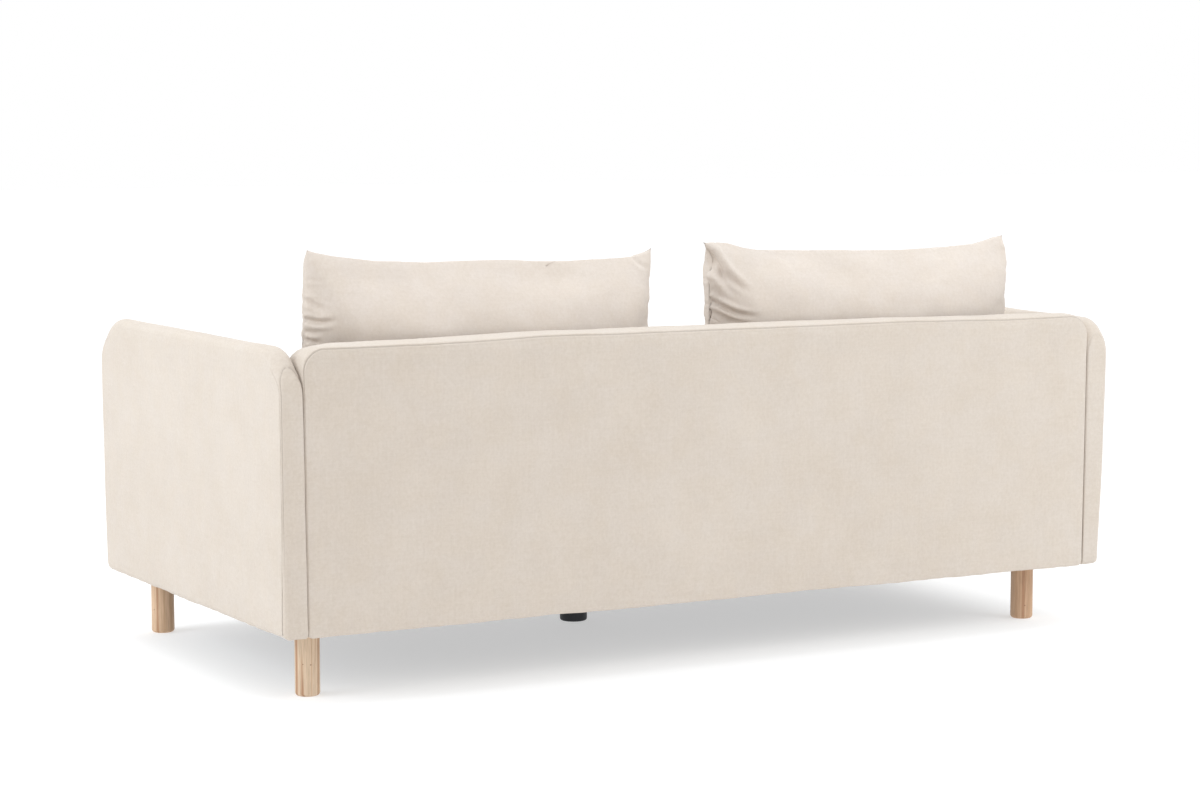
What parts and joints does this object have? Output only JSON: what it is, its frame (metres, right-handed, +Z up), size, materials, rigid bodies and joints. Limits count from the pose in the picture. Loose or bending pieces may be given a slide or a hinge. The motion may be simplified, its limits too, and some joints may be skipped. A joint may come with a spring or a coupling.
{
  "type": "sofa with wooden legs",
  "caption": "Slim-armed fabric sofa on round wooden legs with a centre support foot; the seat and back cushions are loose and lift off, and the arms and the back are bolted to the seat base.",
  "frame": {"origin": "on the floor, below the middle of the sofa's bounding box", "axes": "+Z up; the sofa faces -Y; +X is the sitter's left"},
  "size_m": [1.9, 0.956, 0.8395],
  "materials": {
    "frame_fabric": "matte fine plain weave, pale oat",
    "cushion_fabric": "matte fine plain weave, pale oat",
    "leg_pine": "satin clear-lacquered pine, vertical grain",
    "frame_timber": "planed softwood",
    "plywood": "sanded plywood",
    "hardboard": "matte hardboard",
    "foam": "matte upholstery foam",
    "felt": "matte needle felt",
    "webbing": "matte elastic webbing",
    "lining": "matte non-woven",
    "black_plastic": "satin moulded plastic",
    "zip_nylon": "satin nylon coil zip",
    "zinc_steel": "zinc plated"
  },
  "bodies": {
    "frame": {"arm_bolt_front_left": "zinc_steel", "arm_bolt_front_right": "zinc_steel", "arm_bolt_rear_left": "zinc_steel", "arm_bolt_rear_right": "zinc_steel", "arm_left_cover": "frame_fabric", "arm_left_foam": "foam", "arm_left_panel": "plywood", "arm_right_cover": "frame_fabric", "arm_right_foam": "foam", "arm_right_panel": "plywood", "back_board": "hardboard", "back_bolt_left": "zinc_steel", "back_bolt_right": "zinc_steel", "back_bottom_rail": "frame_timber", "back_centre_post": "frame_timber", "back_cover": "frame_fabric", "back_foam": "foam", "back_left_post": "frame_timber", "back_right_post": "frame_timber", "back_top_rail": "frame_timber", "centre_foot": "black_plastic", "centre_foot_bolt": "zinc_steel", "corner_plate_front_left": "plywood", "corner_plate_front_right": "plywood", "corner_plate_rear_left": "plywood", "corner_plate_rear_right": "plywood", "dust_cover": "lining", "leg_bolt_front_left": "zinc_steel", "leg_bolt_front_right": "zinc_steel", "leg_bolt_rear_left": "zinc_steel", "leg_bolt_rear_right": "zinc_steel", "leg_front_left": "leg_pine", "leg_front_right": "leg_pine", "leg_rear_left": "leg_pine", "leg_rear_right": "leg_pine", "seat_base_cover": "frame_fabric", "seat_centre_stretcher": "frame_timber", "seat_deck_pad": "felt", "seat_front_rail": "frame_timber", "seat_left_rail": "frame_timber", "seat_rear_rail": "frame_timber", "seat_right_rail": "frame_timber", "seat_webbing": "webbing"},
    "seat_cushion_left": {"seat_cushion_core_left": "foam", "seat_cushion_cover_left": "cushion_fabric", "seat_cushion_zip_left": "zip_nylon"},
    "back_cushion_left": {"back_cushion_core_left": "foam", "back_cushion_cover_left": "cushion_fabric", "back_cushion_zip_left": "zip_nylon"},
    "seat_cushion_right": {"seat_cushion_core_right": "foam", "seat_cushion_cover_right": "cushion_fabric", "seat_cushion_zip_right": "zip_nylon"},
    "back_cushion_right": {"back_cushion_core_right": "foam", "back_cushion_cover_right": "cushion_fabric", "back_cushion_zip_right": "zip_nylon"}
  },
  "joints": [
    {"name": "seat_cushion_left_lift", "type": "slide", "parent": "frame", "child": "seat_cushion_left", "axis": [0, 0, 1], "range_m": [0, 0.45]},
    {"name": "back_cushion_left_lift", "type": "slide", "parent": "seat_cushion_left", "child": "back_cushion_left", "axis": [0, 0, 1], "range_m": [0, 0.3]},
    {"name": "seat_cushion_right_lift", "type": "slide", "parent": "frame", "child": "seat_cushion_right", "axis": [0, 0, 1], "range_m": [0, 0.45]},
    {"name": "back_cushion_right_lift", "type": "slide", "parent": "seat_cushion_right", "child": "back_cushion_right", "axis": [0, 0, 1], "range_m": [0, 0.3]}
  ]
}
